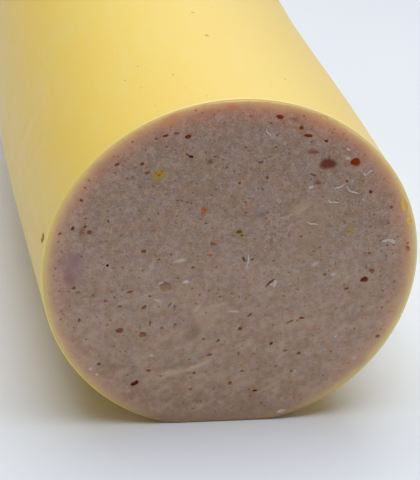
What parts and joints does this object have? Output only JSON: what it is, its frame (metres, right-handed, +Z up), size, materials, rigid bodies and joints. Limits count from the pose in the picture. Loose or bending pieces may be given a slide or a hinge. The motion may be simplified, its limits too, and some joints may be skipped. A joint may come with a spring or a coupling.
{
  "type": "garlic sausage",
  "caption": "Large garlic sausage in a smooth yellow casing, cut square at one end to show the fine meat, with the other end pleated and closed by a wire clip.",
  "frame": {"origin": "middle of the footprint, on the surface that the sausage lies on", "axes": "+Y along the sausage from the cut face to the clipped end, +Z up, +X to the right when looking at the cut face"},
  "size_m": [0.0648, 0.1894, 0.06],
  "materials": {
    "casing": "satin, opaque yellow casing",
    "meat": "moist, fine-grained grey-brown meat",
    "clip": "satin wire"
  },
  "bodies": {
    "root": {"casing": "casing", "meat": "meat", "clip": "clip"}
  },
  "joints": []
}
